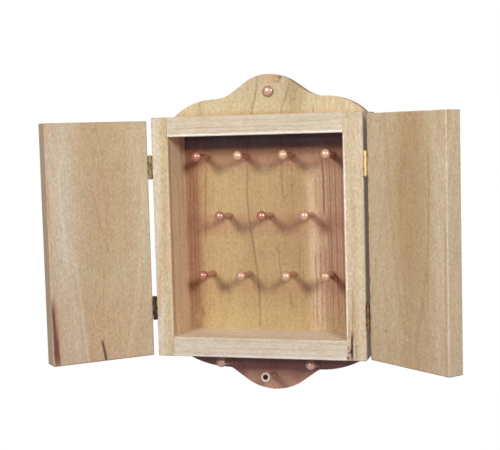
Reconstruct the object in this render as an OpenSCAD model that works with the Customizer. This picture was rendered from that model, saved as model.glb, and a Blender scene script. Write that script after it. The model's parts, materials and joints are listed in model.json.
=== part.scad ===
// Wall cabinet for jewelry: a shallow wooden case on a shaped back panel, with two overlay doors
// and turned pegs. +X is the viewer's right, +Y points into the wall, +Z is up.
// The origin is the centre of the back panel's rear face.

/* [Case] */
// Outer width of the case
case_w = 229.2; // [200:0.1:260]
// Outer height of the case
case_h = 258.2; // [230:0.1:300]
// Depth of the case boards, from the back panel to the front edges
case_depth = 57.15; // [52:0.05:80]
// Thickness of the top and bottom boards
cross_board_t = 21.1; // [17:0.1:24]
// Thickness of the left side board
left_side_t = 18.2; // [16:0.1:24]
// Thickness of the right side board
right_side_t = 21.1; // [16:0.1:24]
// Thickness of the back panel
back_t = 19.05; // [16:0.05:22]
// Sanded chamfer on the edges of the doors and of the case
edge_ease = 0.8; // [0.3:0.1:1.5]

/* [Crest outline] */
// Height of the crest above the case
crest_rise = 44.7; // [41:0.1:56]
// Radius of the rounded top of the crest
crest_r = 45.5; // [36:0.5:50]
// Radius of the coves between the crest's top and its shoulders
crest_cove_r = 40; // [10:0.5:44]
// Height of the crest's shoulders above the case
crest_shoulder_rise = 19; // [15:0.1:21]
// Distance of the crest's ends from the sides of the case
crest_inset = 5.8; // [1:0.1:10]

/* [Apron outline] */
// Drop of the apron below the case
apron_drop = 45.7; // [44:0.1:56]
// Radius of the rounded bottom of the apron
apron_r = 55.5; // [45:0.5:60]
// Radius of the coves between the apron's bottom and its shoulders
apron_cove_r = 8; // [4:0.5:30]
// Drop of the apron's shoulders below the case
apron_shoulder_drop = 22.5; // [21:0.1:24]

/* [Both outlines] */
// Slope of the straight flanks of crest and apron, in degrees
flank_angle = 35.5; // [33:0.5:37]
// How far the middles of crest and apron lie to the right of the case's middle
outline_offset = 1.3; // [-3:0.1:3]

/* [Doors] */
// How much shorter than the case a door is, at its top and at its bottom
door_end_gap = 2.1; // [0:0.1:4]
// How much lower the left door hangs than the right one
left_door_drop = 1.2; // [0:0.1:2]
// Thickness of the doors
door_t = 19.05; // [16:0.05:22]
// Gap between the two closed doors
door_gap = 2.4; // [1:0.1:4]
// Gap between a closed door and the front edges of the case
door_seat_gap = 0.6; // [0.5:0.1:2]
// Angle by which the left door stands open, in degrees
left_open_angle = 137.4; // [0:0.1:180]
// Angle by which the right door stands open, in degrees
right_open_angle = 140.4; // [0:0.1:180]

/* [Door knobs] */
// Diameter of a knob
knob_d = 18; // [14:0.5:24]
// How far a knob stands out from its door
knob_reach = 16; // [13:0.5:22]
// Length of the knob's domed end
knob_dome_l = 6.4; // [4:0.1:9]
// Diameter of the knob's neck
knob_neck_d = 9; // [8:0.5:12]
// Diameter of the knob's foot on the door
knob_foot_d = 11; // [9:0.5:14]
// Distance from a knob's centre to the free edge of its door
knob_inset = 28; // [20:0.5:45]
// Length of the knob's tenon
knob_tenon_l = 10; // [6:0.5:13]

/* [Pegs] */
// Distance between the two inner pegs of the top and bottom rows
inner_pitch = 50; // [40:0.1:52]
// Distance from an outer peg of the top row to its neighbour
top_end_pitch = 46; // [38:0.1:48]
// Distance from an outer peg of the bottom row to its neighbour
bottom_end_pitch = 42.8; // [38:0.1:48]
// Distance between neighbouring pegs in the middle row
middle_pitch = 46.9; // [40:0.1:52]
// Distance between the rows
row_pitch = 65; // [50:0.5:70]
// Distance of the top row below the top board
top_row_drop = 23.8; // [18:0.1:40]
// How far a peg stands out from the back panel
peg_reach = 40; // [30:0.5:48]
// Upward tilt of the pegs in the case, in degrees
peg_tilt = 3; // [0:0.5:8]
// Diameter of a peg's head
peg_head_d = 11; // [9:0.1:14]
// Length of the head's domed end
peg_dome_l = 4.2; // [3:0.1:6]
// Length of the head's underside
peg_under_l = 3.4; // [2:0.1:5]
// Diameter of the shank at the head
peg_neck_d = 6.2; // [5:0.1:7.5]
// Diameter of the shank at the back panel
peg_base_d = 8; // [7:0.1:10]
// Diameter of the tenons of pegs, knobs and button
tenon_d = 6.35; // [5:0.05:6.6]
// Length of a peg's tenon
peg_tenon_l = 12.7; // [8:0.1:14]

/* [Apron pegs] */
// Distance between neighbouring apron pegs
apron_pitch = 50; // [35:0.5:52]
// Drop of the two outer apron pegs below the case
apron_side_drop = 15.5; // [13:0.5:16]
// Drop of the middle apron peg below the case
apron_middle_drop = 30.5; // [22:0.5:35]
// Upward tilt of the apron pegs, in degrees
apron_tilt = 9; // [0:0.5:12]
// Diameter of the bore in the middle apron peg's flat end
peg_bore_d = 5; // [3:0.1:6]
// Depth of that bore
peg_bore_l = 12; // [6:0.5:20]

/* [Crest button] */
// Height of the button above the case
button_rise = 25.7; // [20:0.1:32]
// Diameter of the button
button_d = 12; // [10:0.1:15]
// How far the button stands out
button_h = 3.5; // [2:0.1:5]
// Height of the button's upright rim
button_rim_h = 1; // [0.5:0.1:1.5]
// Length of the button's tenon
button_tenon_l = 8; // [5:0.1:10]
// Diameter of the hanging hole behind the button
hang_d = 7; // [6.8:0.1:9]

/* [Hinges] */
// Height of a hinge
hinge_l = 25.4; // [20:0.1:32]
// Number of knuckles in a hinge
knuckles = 5; // [3:2:7]
// Width of a leaf, from the hinge's axis
leaf_w = 12; // [10:0.1:14]
// Thickness of a leaf
leaf_t = 1; // [0.8:0.05:1.2]
// Diameter of the barrel
barrel_d = 4; // [3.6:0.1:5]
// Gap between the barrel and the wood
barrel_gap = 0.3; // [0.3:0.05:1]
// Gap between neighbouring knuckles
knuckle_gap = 0.15; // [0.1:0.05:0.4]
// Diameter of the hinge pin
pin_d = 2; // [1.5:0.1:2.2]
// How far the pin stands out at each end of the barrel
pin_end = 0.5; // [0.2:0.1:1]
// Distance of the upper hinges' centres from the top of the case
upper_hinge_inset = 53; // [30:0.5:70]
// Distance of the lower left hinge's centre from the bottom of the case
left_lower_hinge_inset = 52.5; // [30:0.5:70]
// Distance of the lower right hinge's centre from the bottom of the case
right_lower_hinge_inset = 47; // [30:0.5:70]

/* [Screws and nails] */
// Diameter of a hinge screw's head
hinge_screw_head_d = 4.4; // [3.6:0.1:5]
// Diameter of a hinge screw's shank
hinge_screw_d = 2.2; // [1.6:0.1:2.6]
// Length of a hinge screw
hinge_screw_l = 12; // [8:0.5:14]
// Diameter of a back screw's head
back_screw_head_d = 7; // [6:0.1:8]
// Diameter of a back screw's shank
back_screw_d = 3.5; // [2.5:0.1:4.2]
// Length of a back screw
back_screw_l = 38; // [30:0.5:45]
// Diameter of a nail's head
nail_head_d = 2.8; // [2:0.1:4]
// Diameter of a nail's shank
nail_d = 1.6; // [1.2:0.1:2]
// Length of a nail
nail_l = 38; // [30:0.5:45]

/* [Clearances] */
// Radial clearance of a glued or driven piece in its hole
fit_gap = 0.05; // [0.02:0.01:0.1]
// Radial clearance of a knuckle on its pin
pin_gap = 0.05; // [0.02:0.01:0.1]
// Room left at the bottom of a blind hole
blind_gap = 0.3; // [0.1:0.1:1]

/* [Hidden] */
$fn = 48;
ARC_STEP = 3;
DOME_STEPS = 16;
OVER = 1;

// Sides of the cabinet, and levels of its hinges
LEFT = -1;
RIGHT = 1;
UPPER = 1;
LOWER = -1;

// Planes across the depth
panel_y = -back_t;
front_y = panel_y - case_depth;
half_w = case_w / 2;
half_h = case_h / 2;

// Doors in their closed place
door_w = half_w - door_gap / 2;
door_h = case_h - 2 * door_end_gap;
door_back_y = front_y - door_seat_gap;
door_face_y = door_back_y - door_t;
knob_x = door_gap / 2 + knob_inset;

// Hinge axes: halfway between door and case, a barrel's radius and its gap out from the side
barrel_r = barrel_d / 2;
axis_out = barrel_r + barrel_gap;
hinge_x = half_w + axis_out;
hinge_y = front_y - door_seat_gap / 2;
knuckle_pitch = hinge_l / knuckles;
hinge_screw_out = (barrel_r + leaf_w) / 2 + hinge_screw_d / 2 - fit_gap;
hinge_screw_z = hinge_l / 2 - hinge_screw_head_d - fit_gap;

// Pegs: places on the face of the back panel
top_row_xs = row_places(top_end_pitch);
bottom_row_xs = row_places(bottom_end_pitch);
middle_row_xs = [-middle_pitch, 0, middle_pitch];
top_row_z = half_h - cross_board_t - top_row_drop;
middle_row_z = top_row_z - row_pitch;
bottom_row_z = middle_row_z - row_pitch;
apron_side_z = -half_h - apron_side_drop;
apron_middle_z = -half_h - apron_middle_drop;
button_z = half_h + button_rise;
tenon_r = tenon_d / 2;
flat_end_angle = 25;

// Fasteners
cross_board_z = half_h - cross_board_t / 2;
nail_ys = [for (share = [0.25, 0.75]) panel_y - case_depth * share];
side_screw_xs = [left_side_t / 2 - half_w, half_w - right_side_t / 2];
side_screw_zs = [for (share = [-0.7, 0, 0.7]) half_h * share];
rail_screw_xs = [for (share = [-0.4, 0.4]) half_w * share];

// Places across a row of four pegs
function row_places(end_pitch) =
    let (inner_x = inner_pitch / 2, outer_x = inner_x + end_pitch)
    [-outer_x, -inner_x, inner_x, outer_x];

function side_t(side) = side == LEFT ? left_side_t : right_side_t;

// Points on an arc about a centre, from one angle to another
function arc(centre, r, from, to) =
    let (steps = ceil(abs(to - from) / ARC_STEP))
    [for (i = [0 : steps])
        let (a = from + (to - from) * i / steps)
        centre + r * [cos(a), sin(a)]];

// One quarter of the panel's outline: a dome, a straight flank, a cove and a falling shoulder, which ends
// at the height of the case. The dome's middle lies at x = offset, and the heights count from the case.
function quarter_outline(offset, rise, dome_r, cove_r, shoulder_rise, inset) =
    let (
        flank_top = rise - dome_r * (1 - cos(flank_angle)),
        flank_foot = shoulder_rise + cove_r * (1 - cos(flank_angle)),
        flank_run = (flank_top - flank_foot) / tan(flank_angle),
        cove_x = offset + (dome_r + cove_r) * sin(flank_angle) + flank_run,
        shoulder_run = half_w - inset - cove_x,
        shoulder_r = (pow(shoulder_run, 2) + pow(shoulder_rise, 2)) / (2 * shoulder_rise),
        shoulder_end = 90 - asin(shoulder_run / shoulder_r)
    )
    concat(
        arc([offset, half_h + rise - dome_r], dome_r, 90, 90 - flank_angle),
        arc([cove_x, half_h + shoulder_rise + cove_r], cove_r, 270 - flank_angle, 270),
        arc([cove_x, half_h + shoulder_rise - shoulder_r], shoulder_r, 90, shoulder_end),
        inset > 0 ? [[half_w, half_h]] : []
    );

function crest_quarter(offset) =
    quarter_outline(offset, crest_rise, crest_r, crest_cove_r, crest_shoulder_rise, crest_inset);

function apron_quarter(offset) =
    quarter_outline(offset, apron_drop, apron_r, apron_cove_r, apron_shoulder_drop, 0);

// Height of a hinge's centre
function hinge_z(side, level) =
    level == UPPER ? half_h - upper_hinge_inset
    : side == LEFT ? left_lower_hinge_inset - half_h
    : right_lower_hinge_inset - half_h;

function reversed(points) = [for (i = [len(points) - 1 : -1 : 0]) points[i]];

// The points of a quarter moved to another quarter; sides are +1 or -1
function flipped(points, x_side, z_side) = [for (p = points) [x_side * p.x, z_side * p.y]];

// All round the panel from the top, without a second point in the middle of crest and apron
function panel_outline() =
    let (
        left_apron = flipped(apron_quarter(-outline_offset), -1, -1),
        left_crest = flipped(crest_quarter(-outline_offset), -1, 1)
    )
    concat(
        crest_quarter(outline_offset),
        reversed(flipped(apron_quarter(outline_offset), 1, -1)),
        [for (i = [1 : len(left_apron) - 1]) left_apron[i]],
        [for (i = [len(left_crest) - 1 : -1 : 1]) left_crest[i]]
    );

// Where the shoulder of a tilted turned piece starts, so that its rim clears the panel
function shoulder_start(r, tilt) = r * tan(tilt) + fit_gap;

// Profile of a peg, radius against distance out from the panel
function peg_profile(tilt, end_angle) =
    let (
        head_r = peg_head_d / 2,
        head_z = peg_reach - peg_dome_l,
        under_angle = acos(peg_neck_d / peg_head_d),
        start = shoulder_start(peg_base_d / 2, tilt)
    )
    concat(
        [
            [0, -peg_tenon_l],
            [tenon_r, -peg_tenon_l],
            [tenon_r, start],
            [peg_base_d / 2, start]
        ],
        [for (i = [0 : DOME_STEPS])
            let (
                a = -under_angle + (end_angle + under_angle) * i / DOME_STEPS,
                half_l = a < 0 ? peg_under_l : peg_dome_l
            )
            [max(head_r * cos(a), 0), head_z + half_l * sin(a)]],
        end_angle < 90 ? [[0, head_z + peg_dome_l * sin(end_angle)]] : []
    );

// Puts a turned piece, built along +Z from the panel's face, at a place on the panel
module on_panel(x, z, tilt) {
    translate([x, panel_y, z])
        rotate([90 - tilt, 0, 0])
            children();
}

module on_side(side) {
    if (side == LEFT) mirror([1, 0, 0]) children();
    else children();
}

// Swings a piece of a closed door out to where the door stands
module on_door(side) {
    open_angle = side == LEFT ? left_open_angle : right_open_angle;
    translate([side * hinge_x, hinge_y, 0])
        rotate([0, 0, side * open_angle])
            translate([-side * hinge_x, -hinge_y, 0])
                on_side(side)
                    children();
}

// Cutters that chamfer an edge of the given length, centred on the edge's middle
module ease_x(l) {
    rotate([45, 0, 0]) cube([l, edge_ease * sqrt(2), edge_ease * sqrt(2)], center = true);
}

module ease_y(l) {
    rotate([0, 45, 0]) cube([edge_ease * sqrt(2), l, edge_ease * sqrt(2)], center = true);
}

module ease_z(l) {
    rotate([0, 0, 45]) cube([edge_ease * sqrt(2), edge_ease * sqrt(2), l], center = true);
}

// A board from its low corner, with chamfered edges
module eased_board(low, size) {
    translate(low)
        difference() {
            cube(size);
            for (y = [0, size.y], z = [0, size.z]) translate([size.x / 2, y, z]) ease_x(size.x + OVER);
            for (x = [0, size.x], z = [0, size.z]) translate([x, size.y / 2, z]) ease_y(size.y + OVER);
            for (x = [0, size.x], y = [0, size.y]) translate([x, y, size.z / 2]) ease_z(size.z + OVER);
        }
}

// A board of the case from its low corner, eased where the joined case has an outer edge
module case_board(low, size) {
    difference() {
        translate(low) cube(size);
        for (z = [-half_h, half_h]) translate([0, front_y, z]) ease_x(case_w + OVER);
        for (x = [-half_w, half_w]) translate([x, front_y, 0]) ease_z(case_h + OVER);
        for (x = [-half_w, half_w], z = [-half_h, half_h]) translate([x, front_y, z]) ease_y(3 * case_depth);
    }
}

// A countersunk screw along -Z, its head's flat face at the origin
module screw(head_d, d, l) {
    head_h = (head_d - d) / 2;
    tip_h = d;
    difference() {
        union() {
            translate([0, 0, -head_h])
                cylinder(h = head_h, r1 = d / 2, r2 = head_d / 2);
            translate([0, 0, -l + tip_h])
                cylinder(h = l - tip_h - head_h, r = d / 2);
            translate([0, 0, -l])
                cylinder(h = tip_h, r1 = 0, r2 = d / 2);
        }
        cube([head_d + OVER, head_d / 7, head_h], center = true);
    }
}

// The hole for such a screw, open at the origin
module screw_hole(head_d, d, l) {
    head_h = (head_d - d) / 2;
    translate([0, 0, -head_h])
        cylinder(h = head_h + fit_gap, r1 = d / 2 + fit_gap, r2 = head_d / 2 + 2 * fit_gap);
    translate([0, 0, -l - blind_gap])
        cylinder(h = l + blind_gap, r = d / 2 + fit_gap);
    cylinder(h = OVER, r = head_d / 2 + 2 * fit_gap);
}

// A finishing nail along -Z, its head's flat face at the origin
module nail() {
    head_h = nail_head_d / 2;
    translate([0, 0, -head_h])
        cylinder(h = head_h, r1 = nail_d / 2, r2 = nail_head_d / 2);
    translate([0, 0, -nail_l])
        cylinder(h = nail_l - head_h, r = nail_d / 2);
}

module nail_hole() {
    head_h = nail_head_d / 2;
    translate([0, 0, -head_h])
        cylinder(h = head_h + fit_gap, r1 = nail_d / 2 + fit_gap, r2 = nail_head_d / 2 + 2 * fit_gap);
    translate([0, 0, -nail_l - blind_gap])
        cylinder(h = nail_l + blind_gap, r = nail_d / 2 + fit_gap);
    cylinder(h = OVER, r = nail_head_d / 2 + 2 * fit_gap);
}

// Places of the fasteners, each with its head at the origin of its child
module at_nails(side) {
    on_side(side)
        for (y = nail_ys, z = [-cross_board_z, cross_board_z])
            translate([half_w, y, z])
                rotate([0, 90, 0])
                    children();
}

module at_back_screws() {
    for (x = side_screw_xs, z = side_screw_zs)
        translate([x, 0, z])
            rotate([-90, 0, 0])
                children();
    for (x = rail_screw_xs, z = [-cross_board_z, cross_board_z])
        translate([x, 0, z])
            rotate([-90, 0, 0])
                children();
}

// Screws of one leaf, in the closed place; toward is +1 for the case's leaf, -1 for the door's
module at_leaf_screws(side, level, toward) {
    for (z = [-hinge_screw_z, hinge_screw_z])
        translate([half_w + leaf_t, hinge_y + toward * hinge_screw_out, hinge_z(side, level) + z])
            rotate([0, 90, 0])
                children();
}

module leaf_screws(side, level, toward) {
    at_leaf_screws(side, level, toward)
        screw(hinge_screw_head_d, hinge_screw_d, hinge_screw_l);
}

module leaf_screw_holes(side, toward) {
    for (level = [LOWER, UPPER])
        at_leaf_screws(side, level, toward)
            screw_hole(hinge_screw_head_d, hinge_screw_d, hinge_screw_l);
}

// The hole for a tenon, along -Z from the face at the origin
module tenon_hole(l) {
    translate([0, 0, -l - blind_gap])
        cylinder(h = l + blind_gap + 2 * OVER, r = tenon_r + fit_gap);
}

module back_panel() {
    color("burlywood")
        difference() {
            rotate([90, 0, 0])
                linear_extrude(height = back_t)
                    polygon(panel_outline());
            for (x = top_row_xs) on_panel(x, top_row_z, peg_tilt) tenon_hole(peg_tenon_l);
            for (x = middle_row_xs) on_panel(x, middle_row_z, peg_tilt) tenon_hole(peg_tenon_l);
            for (x = bottom_row_xs) on_panel(x, bottom_row_z, peg_tilt) tenon_hole(peg_tenon_l);
            for (side = [LEFT, RIGHT])
                on_panel(side * apron_pitch, apron_side_z, apron_tilt) tenon_hole(peg_tenon_l);
            on_panel(0, apron_middle_z, apron_tilt) tenon_hole(peg_tenon_l);
            on_panel(outline_offset, button_z, 0) tenon_hole(button_tenon_l);
            translate([outline_offset, OVER, button_z])
                rotate([90, 0, 0])
                    cylinder(h = back_t - button_tenon_l + OVER, r = hang_d / 2);
            at_back_screws() screw_hole(back_screw_head_d, back_screw_d, back_screw_l);
        }
}

module side_board(side) {
    inner_x = half_w - side_t(side);
    color("wheat")
        difference() {
            on_side(side)
                difference() {
                    case_board([inner_x, front_y, -half_h], [side_t(side), case_depth, case_h]);
                    translate([inner_x, front_y, 0]) ease_z(case_h - 2 * cross_board_t);
                    leaf_screw_holes(side, 1);
                }
            at_nails(side) nail_hole();
            at_back_screws() screw_hole(back_screw_head_d, back_screw_d, back_screw_l);
        }
}

// A board across the case, at the top or at the bottom
module cross_board(level) {
    low_z = level == UPPER ? half_h - cross_board_t : -half_h;
    low_x = left_side_t - half_w;
    length = case_w - left_side_t - right_side_t;
    color("wheat")
        difference() {
            case_board([low_x, front_y, low_z], [length, case_depth, cross_board_t]);
            translate([0, front_y, level * (half_h - cross_board_t)]) ease_x(case_w);
            at_nails(LEFT) nail_hole();
            at_nails(RIGHT) nail_hole();
            at_back_screws() screw_hole(back_screw_head_d, back_screw_d, back_screw_l);
        }
}

module at_knob() {
    translate([knob_x, door_face_y, 0])
        rotate([90, 0, 0])
            children();
}

module door(side) {
    low_z = -door_h / 2 - (side == LEFT ? left_door_drop : 0);
    color("tan")
        on_door(side)
            difference() {
                eased_board([door_gap / 2, door_face_y, low_z], [door_w, door_t, door_h]);
                leaf_screw_holes(side, -1);
                at_knob() tenon_hole(knob_tenon_l);
            }
}

module knob(side) {
    knob_r = knob_d / 2;
    under_angle = acos(knob_neck_d / knob_d);
    color("rosybrown")
        on_door(side)
            at_knob()
                rotate_extrude()
                    polygon(concat(
                        [
                            [0, -knob_tenon_l],
                            [tenon_r, -knob_tenon_l],
                            [tenon_r, fit_gap],
                            [knob_foot_d / 2, fit_gap]
                        ],
                        [for (i = [0 : DOME_STEPS])
                            let (a = -under_angle + (90 + under_angle) * i / DOME_STEPS)
                            [max(knob_r * cos(a), 0), knob_reach + knob_dome_l * (sin(a) - 1)]]
                    ));
}

module crest_button() {
    button_r = button_d / 2;
    color("rosybrown")
        on_panel(outline_offset, button_z, 0)
            rotate_extrude()
                polygon(concat(
                    [
                        [0, -button_tenon_l],
                        [tenon_r, -button_tenon_l],
                        [tenon_r, fit_gap],
                        [button_r, fit_gap]
                    ],
                    [for (i = [0 : DOME_STEPS])
                        let (a = 90 * i / DOME_STEPS)
                        [max(button_r * cos(a), 0), button_rim_h + (button_h - button_rim_h) * sin(a)]]
                ));
}

// A peg on the panel; the end angle is 90 for a domed end, and less for a flat one
module peg(x, z, tilt, end_angle) {
    on_panel(x, z, tilt)
        rotate_extrude()
            polygon(peg_profile(tilt, end_angle));
}

module rack_peg(x, z) {
    color("rosybrown") peg(x, z, peg_tilt, 90);
}

module apron_side_peg(side) {
    color("rosybrown") peg(side * apron_pitch, apron_side_z, apron_tilt, 90);
}

module apron_middle_peg() {
    color("rosybrown")
        difference() {
            peg(0, apron_middle_z, apron_tilt, flat_end_angle);
            on_panel(0, apron_middle_z, apron_tilt)
                translate([0, 0, peg_reach - peg_dome_l - peg_bore_l])
                    cylinder(h = peg_bore_l + peg_dome_l, r = peg_bore_d / 2);
        }
}

// A hinge leaf in the closed place; toward is +1 for the case's leaf, -1 for the door's.
// first is the number of the first knuckle that belongs to the leaf.
module leaf(side, level, toward, first) {
    plate_w = leaf_w - barrel_r - 2 * barrel_gap;
    translate([hinge_x, hinge_y, hinge_z(side, level)])
        difference() {
            union() {
                translate([-axis_out, toward > 0 ? leaf_w - plate_w : -leaf_w, -hinge_l / 2])
                    cube([leaf_t, plate_w, hinge_l]);
                for (i = [first : 2 : knuckles - 1])
                    translate([0, 0, -hinge_l / 2 + i * knuckle_pitch + knuckle_gap / 2]) {
                        cylinder(h = knuckle_pitch - knuckle_gap, r = barrel_r);
                        translate([-axis_out, toward > 0 ? 0 : -leaf_w / 2, 0])
                            cube([leaf_t, leaf_w / 2, knuckle_pitch - knuckle_gap]);
                    }
            }
            translate([0, 0, -hinge_l / 2 - OVER])
                cylinder(h = hinge_l + 2 * OVER, r = pin_d / 2 + pin_gap);
        }
}

module frame_leaf(side, level) {
    color("goldenrod")
        on_side(side)
            difference() {
                leaf(side, level, 1, 0);
                leaf_screw_holes(side, 1);
            }
}

module door_leaf(side, level) {
    color("goldenrod")
        on_door(side)
            difference() {
                leaf(side, level, -1, 1);
                leaf_screw_holes(side, -1);
            }
}

module hinge_pin(side, level) {
    pin_l = hinge_l + 2 * pin_end;
    color("darkgoldenrod")
        on_side(side)
            translate([hinge_x, hinge_y, hinge_z(side, level) - pin_l / 2])
                cylinder(h = pin_l, r = pin_d / 2);
}

module frame_hinge_screws() {
    color("darkgoldenrod")
        for (side = [LEFT, RIGHT], level = [LOWER, UPPER])
            on_side(side) leaf_screws(side, level, 1);
}

module door_hinge_screws(side) {
    color("darkgoldenrod")
        on_door(side)
            for (level = [LOWER, UPPER])
                leaf_screws(side, level, -1);
}

module side_nails() {
    color("silver") {
        at_nails(LEFT) nail();
        at_nails(RIGHT) nail();
    }
}

module back_screws() {
    color("silver") at_back_screws() screw(back_screw_head_d, back_screw_d, back_screw_l);
}

back_panel();
side_board(LEFT);  // left_side
side_board(RIGHT);  // right_side
cross_board(UPPER);  // top_board
cross_board(LOWER);  // bottom_board
door(LEFT);  // left_door
door(RIGHT);  // right_door
knob(LEFT);  // left_knob
knob(RIGHT);  // right_knob
crest_button();
rack_peg(top_row_xs[0], top_row_z);  // top_peg_1
rack_peg(top_row_xs[1], top_row_z);  // top_peg_2
rack_peg(top_row_xs[2], top_row_z);  // top_peg_3
rack_peg(top_row_xs[3], top_row_z);  // top_peg_4
rack_peg(middle_row_xs[0], middle_row_z);  // middle_peg_1
rack_peg(middle_row_xs[1], middle_row_z);  // middle_peg_2
rack_peg(middle_row_xs[2], middle_row_z);  // middle_peg_3
rack_peg(bottom_row_xs[0], bottom_row_z);  // bottom_peg_1
rack_peg(bottom_row_xs[1], bottom_row_z);  // bottom_peg_2
rack_peg(bottom_row_xs[2], bottom_row_z);  // bottom_peg_3
rack_peg(bottom_row_xs[3], bottom_row_z);  // bottom_peg_4
apron_side_peg(LEFT);  // apron_peg_left
apron_middle_peg();  // apron_peg_middle
apron_side_peg(RIGHT);  // apron_peg_right
frame_leaf(LEFT, UPPER);  // left_upper_frame_leaf
door_leaf(LEFT, UPPER);  // left_upper_door_leaf
hinge_pin(LEFT, UPPER);  // left_upper_hinge_pin
frame_leaf(LEFT, LOWER);  // left_lower_frame_leaf
door_leaf(LEFT, LOWER);  // left_lower_door_leaf
hinge_pin(LEFT, LOWER);  // left_lower_hinge_pin
frame_leaf(RIGHT, UPPER);  // right_upper_frame_leaf
door_leaf(RIGHT, UPPER);  // right_upper_door_leaf
hinge_pin(RIGHT, UPPER);  // right_upper_hinge_pin
frame_leaf(RIGHT, LOWER);  // right_lower_frame_leaf
door_leaf(RIGHT, LOWER);  // right_lower_door_leaf
hinge_pin(RIGHT, LOWER);  // right_lower_hinge_pin
frame_hinge_screws();
door_hinge_screws(LEFT);  // left_door_hinge_screws
door_hinge_screws(RIGHT);  // right_door_hinge_screws
side_nails();
back_screws();
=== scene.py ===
import json
from math import cos, pi, radians, sin

import bpy
from mathutils import Matrix, Vector

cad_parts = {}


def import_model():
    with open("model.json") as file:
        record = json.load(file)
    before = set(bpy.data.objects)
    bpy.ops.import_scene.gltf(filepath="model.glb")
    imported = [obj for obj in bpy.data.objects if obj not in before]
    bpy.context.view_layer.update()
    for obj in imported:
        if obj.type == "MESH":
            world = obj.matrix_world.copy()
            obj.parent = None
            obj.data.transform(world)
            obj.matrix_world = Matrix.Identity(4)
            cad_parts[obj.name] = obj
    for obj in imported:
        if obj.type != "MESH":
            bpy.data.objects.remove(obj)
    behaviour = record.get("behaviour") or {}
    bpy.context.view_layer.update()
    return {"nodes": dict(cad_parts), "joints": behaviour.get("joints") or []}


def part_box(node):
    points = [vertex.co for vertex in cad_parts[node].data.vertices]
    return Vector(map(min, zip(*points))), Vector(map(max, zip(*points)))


# Looks of a small wooden wall cabinet with open doors and turned pegs. Lengths are in metres, in the
# part's own frame: +X is the viewer's right, +Y points into the wall, +Z is up. Places on a board are in
# millimetres.

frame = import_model()

MM = 0.001
LEFT, RIGHT = -1, 1


def srgb(red, green, blue):
    """A colour written as 0-255 display values, as the linear colour that Blender takes."""
    def linear(value):
        share = value / 255
        return share / 12.92 if share <= 0.04045 else ((share + 0.055) / 1.055) ** 2.4
    return (linear(red), linear(green), linear(blue), 1.0)


# ---------------------------------------------------------------- node trees

class Tree:
    """The node tree of a material or a world, with a short call for each kind of node used here."""

    def __init__(self, owner):
        owner.use_nodes = True
        self.owner = owner
        self.tree = owner.node_tree
        self.tree.nodes.clear()

    def put(self, socket, value):
        if isinstance(value, bpy.types.NodeSocket):
            self.tree.links.new(value, socket)
        else:
            socket.default_value = value

    def node(self, kind, inputs=(), **settings):
        """Adds a node. inputs maps an input's name or number to a constant or to another node's output."""
        made = self.tree.nodes.new("ShaderNode" + kind)
        for key, value in settings.items():
            setattr(made, key, value)
        for key, value in dict(inputs).items():
            self.put(made.inputs[key], value)
        return made

    def math(self, operation, *values):
        return self.node("Math", dict(enumerate(values)), operation=operation).outputs[0]

    def dot(self, a, b):
        return self.node("VectorMath", {0: a, 1: b}, operation="DOT_PRODUCT").outputs["Value"]

    def length(self, vector):
        return self.node("VectorMath", {0: vector}, operation="LENGTH").outputs["Value"]

    def mix(self, factor, a, b, blend="MIX"):
        made = self.node("Mix", data_type="RGBA", blend_type=blend)
        by_name = {socket.identifier: socket for socket in (*made.inputs, *made.outputs)}
        for name, value in (("Factor_Float", factor), ("A_Color", a), ("B_Color", b)):
            self.put(by_name[name], value)
        return by_name["Result_Color"]

    def noise(self, place, across, along, detail=2.0, roughness=0.55):
        """Noise with that many cells a metre across the grain and along it, from 0 to 1."""
        stretched = self.node("VectorMath", {0: place, 1: (across, across, along)}, operation="MULTIPLY")
        inputs = {"Vector": stretched.outputs[0], "Scale": 1.0, "Detail": detail, "Roughness": roughness}
        return self.node("TexNoise", inputs).outputs[0]

    def swing(self, noise, size):
        """Noise from 0 to 1 as a swing from about -size to size."""
        return self.math("MULTIPLY_ADD", noise, 2 * size, -size)

    def step(self, value, low, high, to_low=0.0, to_high=1.0, kind="SMOOTHSTEP"):
        """Goes smoothly from to_low to to_high as value goes from low to high."""
        inputs = {0: value, 1: low, 2: high, 3: to_low, 4: to_high}
        return self.node("MapRange", inputs, interpolation_type=kind).outputs[0]

    def ramp(self, value, stops):
        made = self.node("ValToRGB", {0: value})
        made.color_ramp.interpolation = "CARDINAL"
        elements = made.color_ramp.elements
        while len(elements) < len(stops):
            elements.new(0.5)
        for element, (place, colour) in zip(elements, stops):
            element.position = place
            element.color = colour
        return made.outputs[0]

    def finish(self, **inputs):
        """Ends the tree in a Principled shader. Names are the shader's inputs, with _ for a space."""
        by_name = {name.replace("_", " "): value for name, value in inputs.items()}
        shader = self.node("BsdfPrincipled", by_name)
        self.node("OutputMaterial", {"Surface": shader.outputs[0]})
        return self.owner


def material_tree(name):
    return Tree(bpy.data.materials.new(name))


def dress(name, material):
    """Gives a CAD node its finish."""
    materials = frame["nodes"][name].data.materials
    materials.clear()
    materials.append(material)


# ---------------------------------------------------------------- places taken from the frame

def joint(name):
    return next(j for j in frame["joints"] if j["name"] == name)


def rest_turn(side):
    """How far a door is turned about +Z at rest, from its closed place."""
    name = "left_door_hinge" if side == LEFT else "right_door_hinge"
    return side * radians(-joint(name)["range_deg"][0])


# Edges of the case and of its opening, in mm
HALF_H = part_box("right_side")[1].z / MM
INNER_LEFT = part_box("left_side")[1].x / MM
INNER_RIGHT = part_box("right_side")[0].x / MM
INNER_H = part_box("top_board")[0].z / MM


# ---------------------------------------------------------------- wood

class Board:
    """How a board lies in its node. In a board's own axes X runs across the grain on the face that shows
    most, Y goes through that face, and Z runs along the grain. front is the way that face looks."""

    def __init__(self, node, origin=(0, 0, 0), turn=Matrix.Identity(3), front=Vector((0, -1, 0))):
        self.node = node
        self.origin = origin
        self.turn = turn
        self.front = front
        self.grain = turn @ Vector((0, 0, 1))


def upright(node):
    """A board of the cabinet with upright grain: X is the part's X."""
    return Board(node)


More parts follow.
